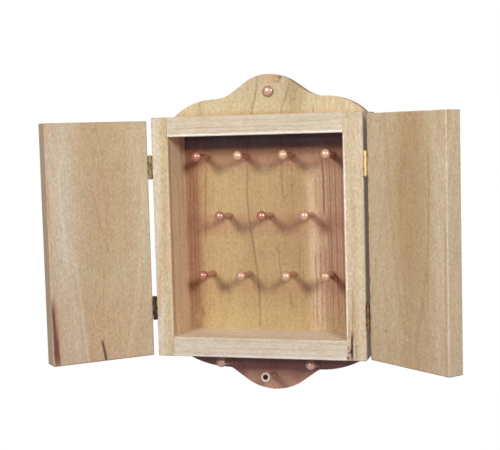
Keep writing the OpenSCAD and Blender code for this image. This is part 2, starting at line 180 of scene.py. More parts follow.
def level(node):
    """A board of the cabinet with level grain: X is the part's Z, and Z is the part's X."""
    return Board(node, turn=Matrix(((0, 0, 1), (0, -1, 0), (1, 0, 0))))


def door(node, side):
    """A door: X is the distance from its hinge axis, Z is the part's Z."""
    x, y, _ = joint(node + "_hinge")["pos_m"]
    opened = Matrix.Rotation(rest_turn(side), 3, "Z")
    turn = opened @ Matrix.Rotation(pi if side == RIGHT else 0.0, 3, "Z")
    return Board(node, (x, y, 0), turn, opened @ Vector((0, 1, 0)))


# Marks at least this wide, in mm, stay level with the surface
WIDEST_SUNK = 6
# The share of a spot's half size that has its full strength
SPOT_CORE = 0.35


class Line:
    """A line of grain through points (along, across) in mm. It fades out over fade mm at both ends. Unless
    it is on the front only, it shows on the opposite face of the board too. Narrow ones are sunk."""

    def __init__(self, path, width, colour, strength=0.7, fade=12, soft=0.7, front_only=False):
        self.path = sorted(path)
        self.width = width
        self.colour = srgb(*colour)
        self.strength = strength
        self.fade = fade
        self.soft = soft
        self.front_only = front_only
        self.sunk = width < WIDEST_SUNK

    def middle(self, tree, along):
        """The line's place across the board, in mm, for a place along it."""
        alongs = [point[0] for point in self.path]
        acrosses = [point[1] for point in self.path]
        first, last, least, most = alongs[0], alongs[-1], min(acrosses), max(acrosses)
        if least == most:
            return least
        share = tree.step(along, first, last, kind="LINEAR")
        curve = tree.node("FloatCurve", {"Value": share})
        points = curve.mapping.curves[0].points
        while len(points) < len(self.path):
            points.new(0.5, 0.5)
        for point, (p_along, p_across) in zip(points, self.path):
            point.location = ((p_along - first) / (last - first), (p_across - least) / (most - least))
        curve.mapping.update()
        return tree.math("MULTIPLY_ADD", curve.outputs[0], most - least, least)

    def mask(self, tree, along, across):
        off = tree.math("ABSOLUTE", tree.math("SUBTRACT", across, self.middle(tree, along)))
        inner = self.width * (1 - self.soft) / 2
        outer = self.width * (1 + self.soft) / 2
        body = tree.step(off, inner, outer, self.strength, 0.0)
        first, last, half = self.path[0][0], self.path[-1][0], self.fade / 2
        start = tree.step(along, first - half, first + half)
        end = tree.step(along, last - half, last + half, 1.0, 0.0)
        return tree.math("MULTIPLY", body, tree.math("MULTIPLY", start, end))


class Spot:
    """A soft mark round (along, across), long and wide in half sizes, all in mm. It shows on the opposite
    face of the board too."""

    def __init__(self, along, across, long, wide, colour, strength=0.7):
        self.centre = (along, across)
        self.half = (long, wide)
        self.colour = srgb(*colour)
        self.strength = strength
        self.front_only = False
        self.sunk = wide < WIDEST_SUNK

    def mask(self, tree, along, across):
        shares = [tree.math("DIVIDE", tree.math("SUBTRACT", place, centre), half)
                  for place, centre, half in zip((along, across), self.centre, self.half)]
        far = tree.length(tree.node("CombineXYZ", {0: shares[0], 1: shares[1]}).outputs[0])
        return tree.step(far, SPOT_CORE, 1.0, self.strength, 0.0)


# Where late wood builds up in a year's ring and where it ends, as shares of the ring, and its least
# strength
LATE_RISE = (0.3, 0.9)
LATE_FALL = (0.93, 1.0)
FAINTEST_YEAR = 0.2
# How far the rings wander from a true circle, in ring gaps, and the noise that they wander by
RING_WANDER = 1.1
RING_NOISE = (22, 7)


def ring_pattern(tree, place, pith, gap, lean):
    """Late wood of growth rings round a pith that leans along the board: 0 between rings, up to 1 on
    them."""
    x, y, z = tree.node("SeparateXYZ", {0: place}).outputs
    from_pith = [tree.math("SUBTRACT", value, tree.math("MULTIPLY_ADD", z, tilt, start))
                 for value, start, tilt in zip((x, y), pith, lean)]
    flat = tree.node("CombineXYZ", {0: from_pith[0], 1: from_pith[1]}).outputs[0]
    wander = tree.swing(tree.noise(place, *RING_NOISE), RING_WANDER * gap)
    phase = tree.math("DIVIDE", tree.math("ADD", tree.length(flat), wander), gap)
    part = tree.math("FRACT", phase)
    year = tree.node("TexWhiteNoise", {"W": tree.math("FLOOR", phase)}, noise_dimensions="1D").outputs[0]
    late = tree.math("MULTIPLY", tree.step(part, *LATE_RISE), tree.step(part, *LATE_FALL, 1.0, 0.0))
    strength = tree.math("MULTIPLY_ADD", year, 1 - FAINTEST_YEAR, FAINTEST_YEAR)
    return tree.math("MULTIPLY", late, strength)


def tinted_grey(tree, grey, green, blue):
    """A grey that turns warmer as it gets darker: green and blue are the powers of those channels."""
    return tree.node("CombineColor", {0: grey, 1: tree.math("POWER", grey, green),
                                      2: tree.math("POWER", grey, blue)}).outputs[0]


# Noises in the wood: cells a metre across the grain and along it, then detail and roughness
STRIPE_SWAY = (30, 8)
LINE_WOBBLE = (90, 40)
FINE_FIBRES = (1500, 38, 3.0)
COARSE_FIBRES = (330, 11, 3.0)
BLOTCHES = (150, 90, 3.0, 0.65)
FLECKS = (520, 300, 2.0, 0.6)
PORES = (3200, 260, 1.0)
PINK_PATCHES = (60, 9)
BROWN_PATCHES = (280, 70, 2.0)
END_SPECKLE = (900, 900, 3.0, 0.7)
# How much the blotches change a board's tone
BLOTCH = 0.10
PINK_TINT = (242, 224, 216)
BROWN_TINT = (243, 231, 218)
# Between these cosines of the angle to a board's front, or to its grain, a face comes to count as one of
# its two broad faces, or as end grain
FACE_TURN = (0.5, 0.9)
END_TURN = (0.55, 0.85)
# Between these cosines of the angle to a rounded edge, its colour, partly wear and partly a painted
# highlight, fades out
EDGE_TURN = (0.80, 0.995)
# How far a board's lines wobble across the grain, in mm, and the share of that along it
WOBBLE = 1.2
WOBBLE_ALONG = 0.4
# Where a board's foot ends, in mm along it, and the radius that its edges are rubbed to
FOOT = (-126.5, -125)
EDGE_RADIUS = 1.0 * MM
# How deep the pores, fibres and sunk marks are
WOOD_RELIEF = 0.12 * MM


def wood(board, tones, marks, sway, pith, ring_gap, lean, rings, late=(150, 108, 74), fibre=0.12,
         fleck=0.34, edge=(236, 222, 194), edge_strength=0.5, foot_edge=None, narrow_marks=()):
    """Gives a board the finish of bare sanded wood.

    tones are (across in mm, colour), and its broad stripes sway by about sway mm. marks are its own lines
    and spots on the face that shows most, and narrow_marks are those on the two long faces beside it,
    where across is measured through the board. Its growth rings, ring_gap apart, run round a pith at (x, y)
    that leans by lean; rings is how strongly they show, and late is their colour. fibre and fleck are how
    much the tone varies. edge is the colour of its rounded edges, partly wear and partly a painted
    highlight, and foot_edge is that of the ones at its foot."""
    tree = material_tree(board.node)
    coordinates = tree.node("TexCoord").outputs
    inputs = {"Vector": coordinates["Object"], "Location": board.origin, "Rotation": board.turn.to_euler()}
    place = tree.node("Mapping", inputs, vector_type="TEXTURE").outputs[0]
    split = tree.node("SeparateXYZ", {0: place}).outputs
    across, through, along = (tree.math("DIVIDE", value, MM) for value in split)
    facing = tree.dot(coordinates["Normal"], board.front)
    on_front = tree.step(facing, *FACE_TURN)
    on_face = tree.step(tree.math("ABSOLUTE", facing), *FACE_TURN)
    on_end = tree.step(tree.math("ABSOLUTE", tree.dot(coordinates["Normal"], board.grain)), *END_TURN)
    on_narrow = tree.math("SUBTRACT", tree.math("SUBTRACT", 1.0, on_face), on_end)

    # Broad stripes
    low, high = tones[0][0], tones[-1][0]
    striped = tree.math("ADD", across, tree.swing(tree.noise(place, *STRIPE_SWAY), 2 * sway))
    stops = [((x - low) / (high - low), srgb(*colour)) for x, colour in tones]
    colour = tree.ramp(tree.step(striped, low, high, kind="LINEAR"), stops)

    # The board's own lines and spots, with a small wobble both ways. Cycles holds each sunk one in its
    # stack until the bump, and a board with too many of them turns black.
    wobble = tree.swing(tree.noise(place, *LINE_WOBBLE), WOBBLE)
    wobbly_along = tree.math("MULTIPLY_ADD", wobble, WOBBLE_ALONG, along)
    deepest = 0.0
    for mark_set, face_share, start in ((marks, on_face, across), (narrow_marks, on_narrow, through)):
        wobbly = tree.math("ADD", start, wobble)
        for mark in mark_set:
            share = on_front if mark.front_only else face_share
            mask = tree.math("MULTIPLY", mark.mask(tree, wobbly_along, wobbly), share)
            colour = tree.mix(mask, colour, mark.colour)
            if mark.sunk:
                deepest = tree.math("MAXIMUM", deepest, mask)

    # Growth rings
    ring = ring_pattern(tree, place, pith, ring_gap, lean)
    colour = tree.mix(tree.math("MULTIPLY", ring, rings), colour, srgb(*late))

    # Fibres, pores and soft blotches
    fine = tree.noise(place, *FINE_FIBRES)
    coarse = tree.noise(place, *COARSE_FIBRES)
    cloud = tree.noise(place, *BLOTCHES)
    flecks = tree.noise(place, *FLECKS)
    pores = tree.step(tree.noise(place, *PORES), 0.66, 0.78)
    grey = tree.math("ADD", tree.swing(fine, fibre / 2), tree.swing(coarse, 0.7 * fibre))
    grey = tree.math("ADD", grey, tree.swing(cloud, BLOTCH))
    grey = tree.math("ADD", grey, tree.swing(flecks, fleck))
    grey = tree.math("ADD", grey, tree.math("MULTIPLY_ADD", pores, -0.1, 1.0))
    colour = tree.mix(1.0, colour, tinted_grey(tree, grey, 1.15, 1.35), "MULTIPLY")

    # Pinkish and brownish patches
    pink = tree.step(tree.noise(place, *PINK_PATCHES), 0.45, 0.75, 0.0, 0.3)
    colour = tree.mix(pink, colour, srgb(*PINK_TINT), "MULTIPLY")
    brown = tree.step(tree.noise(place, *BROWN_PATCHES), 0.48, 0.68, 0.0, 0.4)
    colour = tree.mix(brown, colour, srgb(*BROWN_TINT), "MULTIPLY")

    # End grain
    speckle = tree.noise(place, *END_SPECKLE)
    end_grey = tree.math("ADD", tree.swing(speckle, 0.15), 0.78)
    end_colour = tree.mix(tree.math("MULTIPLY", ring, 0.4), colour, srgb(*late))
    end_colour = tree.mix(1.0, end_colour, tinted_grey(tree, end_grey, 1.2, 1.5), "MULTIPLY")
    colour = tree.mix(on_end, colour, end_colour)

    # Edges are rounded, and their colour is partly wear and partly a painted highlight
    rounded = tree.node("Bevel", {"Radius": EDGE_RADIUS}, samples=6).outputs[0]
    flat = tree.node("NewGeometry").outputs["True Normal"]
    edge_wear_and_highlight = tree.step(tree.dot(rounded, flat), *EDGE_TURN, edge_strength, 0.0)
    edge_colour = tree.mix(tree.step(along, *FOOT), srgb(*(foot_edge or edge)), srgb(*edge))
    colour = tree.mix(edge_wear_and_highlight, colour, edge_colour)

    # Relief and gloss
    relief = tree.math("MULTIPLY_ADD", coarse, 0.7, tree.math("MULTIPLY", fine, 0.5))
    relief = tree.math("MULTIPLY_ADD", pores, -0.6, relief)
    relief = tree.math("MULTIPLY_ADD", deepest, -0.8, relief)
    relief = tree.math("ADD", relief, tree.math("MULTIPLY", speckle, on_end))
    inputs = {"Height": relief, "Distance": WOOD_RELIEF, "Strength": 0.55, "Normal": rounded}
    normal = tree.node("Bump", inputs).outputs[0]
    roughness = tree.math("MULTIPLY_ADD", on_end, 0.12, tree.math("MULTIPLY_ADD", coarse, 0.18, 0.51))
    dress(board.node, tree.finish(Base_Color=colour, Roughness=roughness, Normal=normal, IOR=1.45))


# Colours that several boards share
DARK_LINE = (132, 92, 62)
RED_LINE = (134, 72, 52)
MAROON = (96, 54, 50)


# More than the width of any board, in mm
WHOLE_WIDTH = 600


def across_board(low, high, fade, colour, strength):
    """A wash over the whole width of a board's front, from low to high along it."""
    return Line([(low, 0), (high, 0)], WHOLE_WIDTH, colour, strength, fade, front_only=True)


def back_panel():
    """Golden tan, paler at the crest and redder at the apron, with dark wavy lines that run down from the
    crest and with reddish streaks near both sides. Washes on its front are painted shade: a dark band under
    the top board, reddish bands at the peg rows, tints in the strips that the side boards shade and a dark
    band at the top of the apron, with a paler band of painted light below it."""
    tones = [
        (-115, (200, 176, 134)), (-86, (202, 176, 134)), (-74, (192, 164, 118)), (-60, (195, 170, 122)),
        (-38, (193, 168, 120)), (-22, (187, 160, 114)), (0, (188, 162, 116)), (25, (182, 154, 110)),
        (38, (184, 157, 113)), (48, (203, 176, 139)), (60, (204, 176, 138)), (72, (211, 187, 149)),
        (100, (210, 187, 150)), (115, (204, 180, 146)),
    ]
    left_wave = [
        (-108, -15), (-68, -14.5), (-48, -15.5), (-28, -18.5), (-8, -21), (12, -23.5), (32, -25),
        (52, -25.5), (80, -24.5), (132, -17.5), (140, -16.5), (150, -13.5), (168, -11),
    ]
    right_wave = [(38, 17), (55, 14.5), (80, 14.5), (133, 16), (140, 17.5), (148, 21), (160, 24.5)]
    marks = [
        across_board(133, 190, 8, (213, 203, 168), 0.6),
        # Painted shade: a reddish tint over the strip that the left side board shades
        Line([(-112, -89.5), (112, -88.5)], 18, (190, 134, 100), 0.55, 10, 0.25, front_only=True),
        # Painted shade: a pinkish tint over the strip that the right side board shades
        Line([(-112, 77), (112, 77)], 34, (220, 176, 146), 0.55, 10, 0.3, front_only=True),
        Line([(-112, 54), (-60, 52), (-30, 49), (20, 48), (60, 50)], 9, (222, 198, 166), 0.6, 30, 0.8),
        Line([(-112, 59), (-60, 58.5)], 20, (222, 198, 164), 0.35, 14, 0.5, front_only=True),
        Line(left_wave, 2.2, (138, 88, 66), 0.5, 20),
        Line(right_wave, 2.2, (142, 96, 70), 0.45),
        Line([(-55, 11.5), (-25, 9), (-10, 8.5)], 1.5, DARK_LINE, 0.35, 20),
        Line([(30, 26), (78, 26)], 1.5, DARK_LINE, 0.3, 20),
        Line([(144, 29.5), (152, 31.5), (160, 36)], 1.8, DARK_LINE, 0.45, 8),
        Line([(132, 35), (148, 38)], 1.4, DARK_LINE, 0.25),
        Line([(130, 51.5), (138, 51.5)], 1.6, DARK_LINE, 0.4, 6),
        Line([(-50, 32), (-15, 32.5)], 1.4, RED_LINE, 0.3),
        Line([(-60, 37), (-15, 36)], 1.3, RED_LINE, 0.25),
        Line([(-86, 22), (-66, 21)], 1.8, DARK_LINE, 0.35),
        Line([(-8, -75.5), (10, -74.5), (40, -73.5), (80, -72)], 2.4, RED_LINE, 0.45, 16),
        Line([(126, -77), (146, -77.5)], 1.6, DARK_LINE, 0.3, 6),
        Line([(22, 61), (78, 60)], 2.2, RED_LINE, 0.75, 10),
        Line([(28, 52.5), (62, 52)], 2.2, (188, 112, 88), 0.5, 12),
        Line([(-108, 56.5), (-20, 56)], 1.8, RED_LINE, 0.45, 14),
        Line([(-108, 51), (-22, 50.5)], 1.8, RED_LINE, 0.5, 14),
        Line([(-108, 62), (-16, 61.5)], 2.2, RED_LINE, 0.45, 14),
        Line([(-100, 47), (-60, 46.5)], 1.4, RED_LINE, 0.3, 14),
    ]
    # (across, width, strength) of the reddish streaks near the right side and the left side
    right_streaks = [(64.5, 1.2, 0.3), (67.5, 1.6, 0.45), (70.5, 1.2, 0.25), (73.5, 2.4, 0.4),
                     (77, 1.4, 0.3), (80.5, 2.6, 0.5)]
    left_streaks = [(-93, 1.8, 0.35), (-88.5, 2.6, 0.25), (-84.5, 1.4, 0.3)]
    marks += [Line([(-108, x + 1.5), (94, x)], width, RED_LINE, strength, 24, front_only=True)
              for x, width, strength in right_streaks]
    marks += [Line([(-108, x), (94, x)], 1.4, (226, 196, 168), 0.4, 24, front_only=True) for x in (62, 72)]
    marks += [Line([(-108, x), (96, x + 1)], width, RED_LINE, strength, 24, front_only=True)
              for x, width, strength in left_streaks]
    marks += [Line([(122, x), (160, x)], 1.4, (206, 170, 128), 0.5, 12) for x in (62, 69, 76, 84, 91, 98)]
    marks += [
        Spot(168.5, 11.5, 6, 7.5, (160, 122, 84), 0.7),
        Spot(168, 11, 2.8, 3.6, (212, 180, 142), 0.8),
        Spot(170, 15.5, 3, 2, DARK_LINE, 0.8),
        Spot(-90, -81, 8, 2.5, RED_LINE, 0.5),
        Spot(-95, -87, 5, 5, (214, 170, 150), 0.6),
        Spot(-96, 43, 6, 7, (202, 162, 140), 0.3),
        Spot(150, 31, 28, 17, (168, 148, 106), 0.45),
        Spot(170, 2, 12, 14, (206, 166, 126), 0.35),
        across_board(-190, -133, 10, (178, 122, 118), 0.62),
        # Painted light: a paler band on the apron, and above it painted shade, a dark band under the bottom
        # board
        across_board(-159, -144, 6, (220, 168, 158), 0.42),
        across_board(-146, -128, 4, (60, 36, 64), 0.5),
        Spot(-148, -33, 5, 7, (190, 140, 120), 0.55),
        # Painted shade: reddish bands at the three rows of pegs
        across_board(70, 94, 12, (168, 120, 98), 0.42),
        across_board(74, 94, 6, (176, 112, 98), 0.3),
        across_board(-4, 17, 12, (177, 120, 100), 0.28),
        across_board(6, 22, 6, (176, 116, 98), 0.2),
        across_board(-68, -53, 12, (184, 130, 106), 0.24),
        across_board(-120, -84, 16, (198, 184, 132), 0.25),
        # Painted shade: a dark band under the top board
        across_board(94, 118, 7, (52, 66, 126), 0.62),
        across_board(103, 118, 5, (36, 34, 46), 0.5),
    ]
    wood(upright("back_panel"), tones, marks, sway=1.2, pith=(0.0, 0.11), ring_gap=0.0065,
         lean=(0.02, 0.12), rings=0.12, late=(160, 118, 76), edge=(196, 164, 122), foot_edge=(78, 42, 42))


def sides():
    """Cream front edges, pinker at the left and with a dark split at the foot of the right one, and inner
    faces of a reddish tan. Both are painted paler along their inner edges as a highlight."""
    # The last stop, paler, is a painted highlight along the inner edge
    left_tones = [(INNER_LEFT - 18, (219, 207, 185)), (-108, (218, 205, 181)), (-103, (209, 193, 155)),
                  (-98.5, (209, 193, 153)), (INNER_LEFT - 0.4, (228, 203, 171))]
    left_marks = [
        Line([(-90, -114), (-60, -110.5), (-20, -106.5), (20, -104), (60, -102.5), (127, -100.5)], 5,
             (202, 178, 134), 0.6, 30, 0.8),
        Line([(100, -96.9), (127, -96.6)], 1.4, DARK_LINE, 0.55, 5),
        Line([(-127, -97), (-104, -97)], 1.2, (170, 120, 80), 0.5, 5),
    ]
    left_wall = [
        Line([(-110, -70), (-30, -71), (110, -70)], 7, (182, 122, 96), 0.5, 20, 0.8),
        Line([(-70, -50), (60, -44)], 3, (188, 136, 108), 0.4, 40, 0.9),
        Line([(20, -30), (106, -34)], 5, (186, 126, 104), 0.4, 40, 0.9),
    ]
    wood(upright("left_side"), left_tones, left_marks, sway=0.8, pith=(-0.19, -0.03), ring_gap=0.005,
         lean=(0.04, 0.02), rings=0.10, edge_strength=0.3, narrow_marks=left_wall)
    right_tones = [(INNER_RIGHT, (216, 190, 150)), (INNER_RIGHT + 1.5, (213, 196, 164)),
                   (102, (208, 193, 160)), (108, (212, 197, 166)), (115, (213, 197, 168))]
    right_marks = [
        # Painted highlight along the inner edge
        Line([(-103, INNER_RIGHT + 0.9), (106, INNER_RIGHT + 0.9)], 2.2, (255, 247, 236), 0.9, 4),
        Line([(-12, 104.5), (40, 105)], 2.6, (192, 176, 132), 0.5, 14),
        Line([(-112, 103), (-84, 102.5), (-55, 101.5)], 2.2, (188, 146, 106), 0.5, 20),
        Line([(-128, 99), (-112, 99.4), (-100, 100)], 2.8, (40, 24, 24), 0.95, 10, 0.5),
        Line([(-106, 100), (-60, 101)], 1.6, (164, 126, 88), 0.6, 24),
        Line([(-127, 104.5), (-112, 104)], 1.6, (150, 124, 108), 0.6, 6),
        Spot(-119, 98.6, 3.4, 2.6, (36, 22, 20), 0.95),
        Spot(-121, 96.2, 2.2, 2.4, (120, 66, 48), 0.8),
        Spot(-126, 94.8, 3, 2, (92, 50, 38), 0.8),
        Spot(-116, 95.6, 2.6, 1.4, (150, 90, 62), 0.7),
        Spot(-113.5, 104.5, 1.8, 1.4, (150, 118, 96), 0.7),
        Spot(-96, 96.5, 14, 2.4, (196, 164, 118), 0.6),
    ]
    wood(upright("right_side"), right_tones, right_marks, sway=0.8, pith=(0.2, -0.06), ring_gap=0.005,
         lean=(-0.03, 0.02), rings=0.10, edge=(240, 228, 206), edge_strength=0.4)


def rails():
    """Greyish cream boards with level grain and painted highlights on and along their edges."""
    # A painted highlight, for the rails' edges and the lines along their edges
    bright = (255, 253, 246)
    top_tones = [(INNER_H - 1, (213, 204, 179)), (113, (213, 202, 175)), (119, (215, 203, 181)),
                 (123, (211, 201, 173)), (HALF_H + 1, (215, 202, 179))]
    top_marks = [
        Line([(-94, 116.8), (-30, 117), (60, 116)], 1.2, (184, 160, 130), 0.45, 30),
        Line([(-70, 121.5), (-10, 121)], 2.6, (224, 198, 178), 0.5, 30),
        Line([(20, 120), (94, 122)], 1.2, (188, 172, 142), 0.45, 30),
        Line([(-40, 113), (50, 112.6)], 1.0, (190, 172, 144), 0.35, 40),
        # Painted highlight along the top rail's lower edge
        Line([(-99, INNER_H + 1.1), (96, INNER_H + 1.1)], 3.0, bright, 0.95, 2),
    ]
    wood(level("top_board"), top_tones, top_marks, sway=0.8, pith=(0.2, 0.05), ring_gap=0.004,
         lean=(0.01, 0.02), rings=0.13, fibre=0.16, fleck=0.2, edge_strength=0.75, edge=bright)
    # The last stop, paler, is a painted highlight along the upper edge
    low_tones = [(-HALF_H - 1, (220, 208, 185)), (-122, (218, 208, 187)), (-112, (219, 210, 187)),
                 (-INNER_H - 1, (218, 205, 179)), (-INNER_H + 0.5, (235, 222, 199))]
    low_marks = [
        Line([(-94, -111), (-20, -111.6), (94, -111.4)], 1.1, (182, 172, 150), 0.45, 30),
        Line([(-60, -120), (70, -118)], 1.4, (198, 182, 160), 0.4, 40),
        # Painted highlight along the bottom rail's lower edge
        Line([(-99, -HALF_H + 1), (96, -HALF_H + 1)], 2.6, bright, 0.65, 2),
    ]
    floor_marks = [
        Line([(-90, -62), (-20, -60), (90, -63)], 4, (192, 146, 118), 0.4, 40, 0.9),
        Line([(-90, -40), (0, -44), (90, -40)], 3, (186, 144, 114), 0.35, 40, 0.9),
        Line([(-80, -73), (80, -72.5)], 2.5, (190, 144, 118), 0.35, 40, 0.9),
    ]
    wood(level("bottom_board"), low_tones, low_marks, sway=0.8, pith=(-0.19, 0.06), ring_gap=0.005,
         lean=(0.01, 0.03), rings=0.12, fibre=0.16, fleck=0.22, edge_strength=0.6, edge=bright,
         narrow_marks=floor_marks)


def doors():
    """Greyish tan boards with a broad arched figure; the left one has dark streaks at its foot."""
    rim = (150, 92, 62)
    foot_edge = (160, 104, 74)
    left_tones = [
        (0, (205, 189, 161)), (10, (206, 191, 159)), (25, (205, 186, 151)), (45, (203, 184, 149)),
        (60, (200, 179, 143)), (74, (198, 177, 145)), (86, (203, 185, 155)), (98, (206, 193, 167)),
        (108, (204, 187, 159)), (117, (204, 181, 149)),
    ]
    left_marks = [
        Spot(70, 52, 150, 34, (196, 168, 128), 0.5),
        across_board(-140, -60, 60, (206, 158, 122), 0.26),
        Line([(-30, 94), (0, 98), (60, 102), (110, 104)], 18, (214, 204, 182), 0.55, 60, 1.0),
        Line([(-127, 84), (-90, 87), (-40, 92), (0, 97)], 12, (212, 198, 174), 0.4, 50, 1.0),
        Line([(-127, 77), (-90, 81), (-40, 86), (-5, 91)], 3.4, (220, 208, 184), 0.45, 30, 0.9),
        Line([(-127, 88), (-90, 90), (-60, 92)], 2.4, (216, 202, 178), 0.45, 30, 0.9),
        Line([(-30, 96), (20, 99.5), (80, 103)], 2.6, (220, 212, 194), 0.45, 40, 0.9),
        Line([(-127, 30), (-100, 28), (-60, 20), (0, 13), (60, 9)], 7, (216, 200, 170), 0.5, 40, 0.9),
        Line([(-118, 34), (-96, 31)], 9, (212, 196, 152), 0.5, 24, 0.8),
        Line([(-127, 38), (-80, 27), (-30, 20)], 1.6, (190, 158, 122), 0.3, 30),
        Line([(-10, 52), (12, 57), (60, 68)], 1.8, (180, 138, 106), 0.45, 20),
        Line([(-20, 46), (10, 52), (50, 44)], 1.6, (184, 144, 112), 0.35, 20),
        Line([(-100, 60), (-20, 56)], 2.2, (188, 150, 116), 0.35, 40),
        Line([(18, 114.8), (64, 114.5)], 2.6, (186, 138, 114), 0.5, 20),
        Line([(-127, 111), (-90, 112.6), (-58, 114.4)], 8.0, (150, 96, 82), 0.6, 24, 0.7),
        Line([(-127, 112.2), (-90, 113.2), (-64, 114.2)], 3.2, MAROON, 0.9, 20, 0.6),
        Line([(-127, 109.2), (-96, 110.6)], 2.6, MAROON, 0.8, 16, 0.6),
        Line([(-128, 57.6), (-118, 59), (-106, 61.5)], 3.0, MAROON, 0.9, 6, 0.6),
        Spot(117, 61, 5, 4, (186, 142, 112), 0.4),
        Spot(-110, 8, 14, 4, (202, 200, 164), 0.45),
        Spot(-129, 58, 2.4, 100, rim, 0.65),
    ]
    wood(door("left_door", LEFT), left_tones, left_marks, sway=2.0, pith=(0.058, 0.075), ring_gap=0.0075,
         lean=(0.01, -0.16), rings=0.12, late=(168, 132, 100), edge=(214, 196, 166), foot_edge=foot_edge)
    right_tones = [
        (0, (209, 186, 152)), (12, (212, 195, 160)), (30, (213, 193, 158)), (44, (211, 191, 152)),
        (60, (207, 184, 146)), (76, (207, 184, 146)), (90, (211, 191, 154)), (104, (217, 200, 166)),
        (117, (217, 199, 166)),
    ]
    right_marks = [across_board(-140, -96, 40, (204, 166, 128), 0.16)]
    # The arched figure: soft spots one in another
    arches = 4
    right_marks += [Spot(48 - 4 * i, 65, 164 - 9 * i, 38 - 5 * i, (190, 160, 116), 0.2)
                    for i in range(arches)]
    right_marks += [
        Line([(-60, 62), (0, 52), (40, 47), (90, 44)], 5, (206, 178, 128), 0.45, 40, 0.8),
        Line([(60, 91), (88, 91)], 3.4, (196, 156, 108), 0.6, 10, 0.9),
        Line([(-60, 88), (0, 90), (62, 92)], 1.6, (176, 142, 106), 0.4, 30),
        Line([(-127, 112), (30, 112.5)], 1.6, (180, 152, 122), 0.45, 40),
        Line([(-127, 102), (-20, 103), (100, 104)], 5, (220, 206, 182), 0.5, 40, 0.8),
        Line([(-100, 58), (-60, 48), (0, 40), (60, 35), (120, 30)], 5, (188, 158, 118), 0.35, 40, 0.8),
        Line([(-100, 70), (-60, 81), (0, 89), (60, 92)], 4, (180, 148, 108), 0.35, 40, 0.8),
        Line([(-110, 62), (-60, 58), (20, 52), (90, 47)], 3, (184, 152, 112), 0.3, 40, 0.8),
        Spot(-94, 26.5, 1.8, 2.0, (140, 110, 86), 0.7),
        Spot(-98, 59, 1.6, 3.6, (224, 204, 172), 0.8),
        Spot(-85, 37, 2.0, 2.4, (222, 204, 172), 0.6),
        Spot(3, 22, 1.8, 2.4, (178, 152, 120), 0.5),
        Spot(7, 89, 1.8, 2.2, (222, 200, 164), 0.6),
        Spot(100, 8, 26, 12, (204, 196, 166), 0.4),
        Spot(-128, 58, 2.0, 100, rim, 0.6),
    ]
    # Dark spots along the hinge edge
    dark_hinge_edge_places = (-120, -96, -82, -60, -44, 20, 60, 84)
    right_marks += [Spot(along, 2.5, 6, 3.5, (150, 92, 66), 0.6) for along in dark_hinge_edge_places]
    wood(door("right_door", RIGHT), right_tones, right_marks, sway=2.0, pith=(0.066, 0.085), ring_gap=0.007,
         lean=(0.01, 0.15), rings=0.12, late=(164, 130, 92), edge=(226, 214, 186), foot_edge=foot_edge)


# ---------------------------------------------------------------- turned wood and metal

REDDISH_PIECES = ("top_peg_1", "middle_peg_1", "middle_peg_2", "bottom_peg_1", "left_knob", "right_knob")
BORED_PEG = "apron_peg_middle"
# How far from the panel a peg's shank loses its dark foot, its head with painted shade at its rim begins,
# and its front, painted paler as lit, begins
SHANK_FOOT = (0.0005, 0.0035)
HEAD_START = (0.0325, 0.0330)
HEAD_FRONT = (0.0360, 0.0382)
FOOT_SHADE = (84, 44, 32)
# Some pieces are paler than others by up to this share of this colour
PALER = (190, 136, 106)
PALER_SHARE = 0.4
# Noises in turned wood, as those in the boards
TURNED_FINE = (1800, 90, 3.0)
TURNED_COARSE = (500, 40, 2.0)
PIECE_TONE = (23, 3, 0.0)
LATHE_MARKS = (4, 2600, 2.0)
# Where the bored peg's axis leaves the panel, how it tilts, and where its bore ends from that axis
BORED_PEG_Z = -0.1596
BORED_PEG_TILT = radians(9)
BORE_RIM = (0.00272, 0.00312)
BORE_SHADE = (24, 18, 16)
# Where the crest button's painted shade darkens it from its middle, and to what
BUTTON_RIM = (0.0038, 0.0060)
BUTTON_SHADE = (140, 92, 64)
TURNED_RELIEF = 0.05 * MM


def turned_wood(name, shank, rim, front, detail=None):
    """Smooth turned hardwood. A peg's head is painted darker at its rim as shade and paler at its front as
    light, and its shank is darker where it enters the panel. detail changes the colour in places."""
    tree = material_tree(name)
    place = tree.node("TexCoord").outputs["Object"]
    split = tree.node("SeparateXYZ", {0: place}).outputs
    # The grain runs along the part's Y, as the pegs do
    turned = tree.node("CombineXYZ", {0: split[0], 1: split[2], 2: split[1]}).outputs[0]
    fine = tree.noise(turned, *TURNED_FINE)
    coarse = tree.noise(turned, *TURNED_COARSE)
    piece = tree.noise(turned, *PIECE_TONE)
    reach = tree.math("SUBTRACT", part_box("back_panel")[0].y, split[1])
    colour = tree.mix(tree.step(reach, *SHANK_FOOT, 0.6, 0.0), srgb(*shank), srgb(*FOOT_SHADE))
    # Painted shade at the head's rim, then painted light on its front
    colour = tree.mix(tree.step(reach, *HEAD_START), colour, srgb(*rim))
    colour = tree.mix(tree.step(reach, *HEAD_FRONT), colour, srgb(*front))
    colour = tree.mix(tree.step(piece, 0.35, 0.65, 0.0, PALER_SHARE), colour, srgb(*PALER))
    grey = tree.math("ADD", tree.swing(fine, 0.10), tree.math("ADD", tree.swing(coarse, 0.14), 1.0))
    colour = tree.mix(1.0, colour, tinted_grey(tree, grey, 1.3, 1.5), "MULTIPLY")
    if detail:
        colour = detail(tree, place, colour)
    lathe = tree.noise(turned, *LATHE_MARKS)
    relief = tree.math("ADD", tree.math("MULTIPLY", lathe, 0.5), fine)
    bump = tree.node("Bump", {"Height": relief, "Distance": TURNED_RELIEF, "Strength": 0.4})
    roughness = tree.math("MULTIPLY_ADD", coarse, 0.16, 0.25)
    return tree.finish(Base_Color=colour, Roughness=roughness, Normal=bump.outputs[0], IOR=1.5,
                       Coat_Weight=1.0, Coat_Roughness=0.22, Coat_IOR=1.8)


